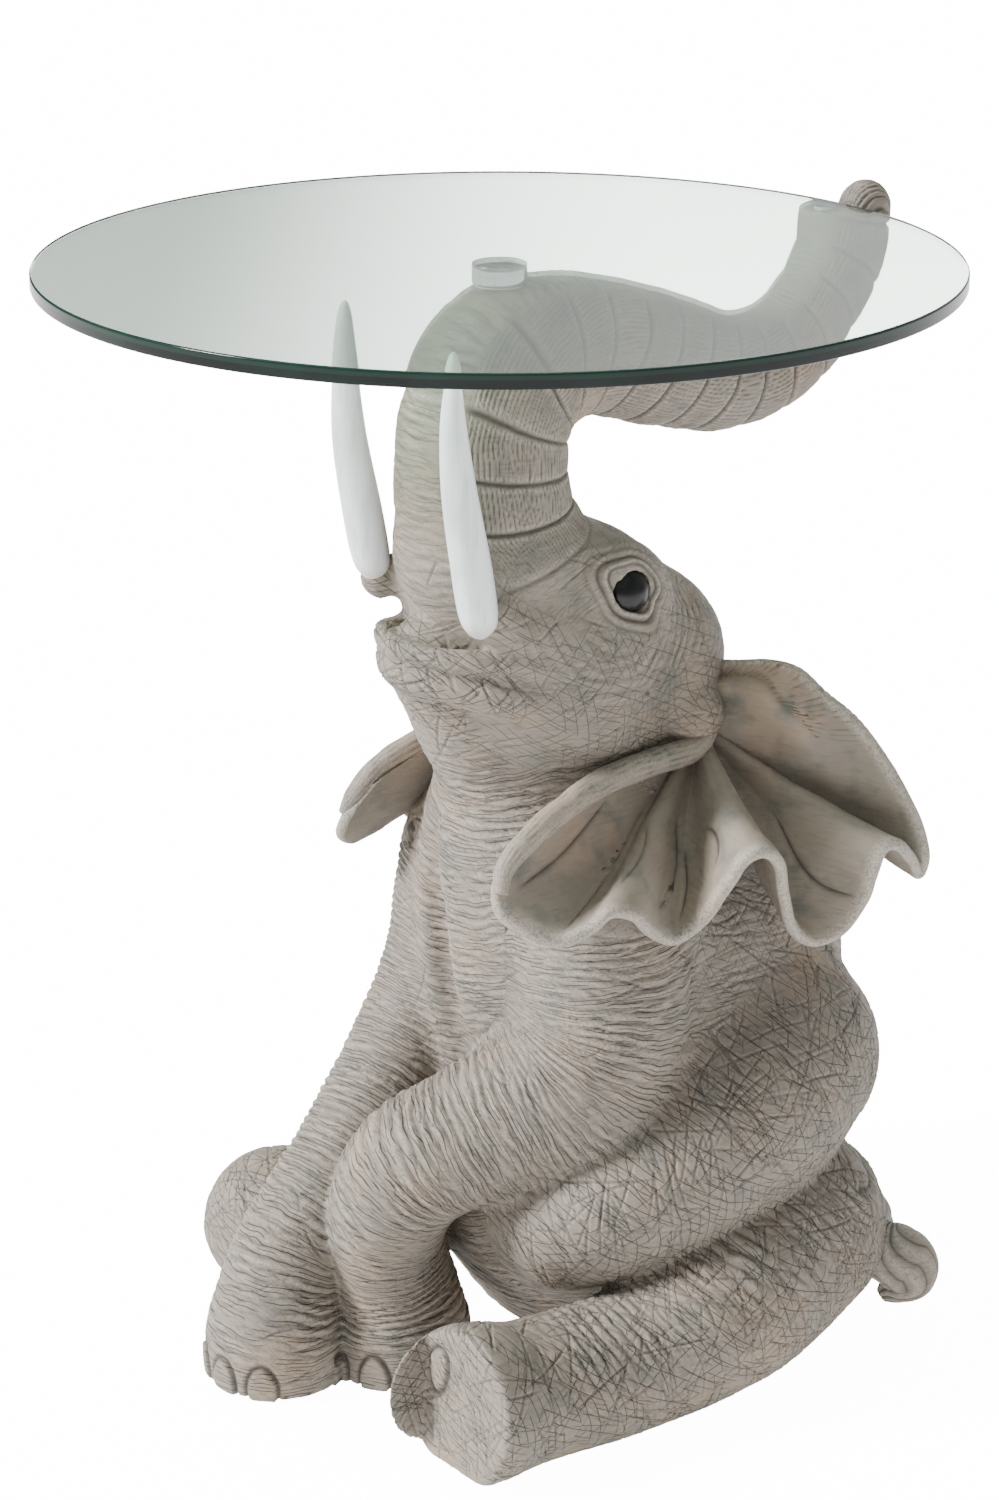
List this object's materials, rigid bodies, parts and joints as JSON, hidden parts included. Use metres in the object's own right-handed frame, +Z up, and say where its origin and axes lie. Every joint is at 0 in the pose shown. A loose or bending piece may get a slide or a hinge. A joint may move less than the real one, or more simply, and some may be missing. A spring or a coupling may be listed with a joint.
{
  "type": "seated elephant side table",
  "caption": "Low round occasional table: a seated elephant figure with raised trunk carries a clear glass top on a screwed metal disc.",
  "frame": {"origin": "on the floor, at the centre of the whole table's bounding box", "axes": "+Z up; -Y is where the elephant's chest and feet point; +X is the elephant's left"},
  "size_m": [0.4999, 0.531, 0.659],
  "materials": {
    "painted_resin": "hand-painted cast polyresin, grey-taupe with a dark wash in the folds and pale dry-brushed ridges",
    "painted_resin_ear": "hand-painted cast polyresin, smoother, with a few incised veins",
    "satin_white_enamel": "satin white enamel on cast resin",
    "gloss_black_eye": "glossy black domed eye",
    "float_glass": "clear float glass with a flat polished edge, green through its thickness",
    "polished_aluminium": "turned and polished",
    "clear_nylon": "natural nylon sheet",
    "zinc_steel": "zinc plated",
    "brass": "turned brass",
    "mild_steel": "plain drawn rod",
    "clear_polyurethane": "clear soft bumper",
    "black_rubber": "moulded rubber",
    "felt": "dark pressed felt"
  },
  "bodies": {
    "elephant": {"base_plug": "black_rubber", "body_casting": "painted_resin", "boss_stud": "zinc_steel", "left_ear": "painted_resin_ear", "left_eye": "gloss_black_eye", "left_tusk": "satin_white_enamel", "pad_front_left": "felt", "pad_front_right": "felt", "pad_hind_left": "felt", "pad_hind_right": "felt", "pad_rump": "felt", "right_ear": "painted_resin_ear", "right_eye": "gloss_black_eye", "right_tusk": "satin_white_enamel", "rim_bumper": "clear_polyurethane", "tail": "painted_resin", "threaded_insert": "brass", "trunk_armature": "mild_steel", "trunk_casting": "painted_resin"},
    "washer": {"disc_washer": "clear_nylon"},
    "top": {"glass_disc": "polished_aluminium", "glass_top": "float_glass"}
  },
  "joints": [
    {"name": "top_rise", "type": "slide", "parent": "elephant", "child": "washer", "axis": [0, 0, 1], "range_m": [0, 0.01]},
    {"name": "top_turn", "type": "hinge", "parent": "washer", "child": "top", "pos_m": [0, -0.0155, 0.626], "axis": [0, 0, 1], "range_deg": [0, 2880]}
  ],
  "couplings": [
    {"joint": "top_rise", "follows": "top_turn", "m_per_rad": 0.00019894}
  ]
}
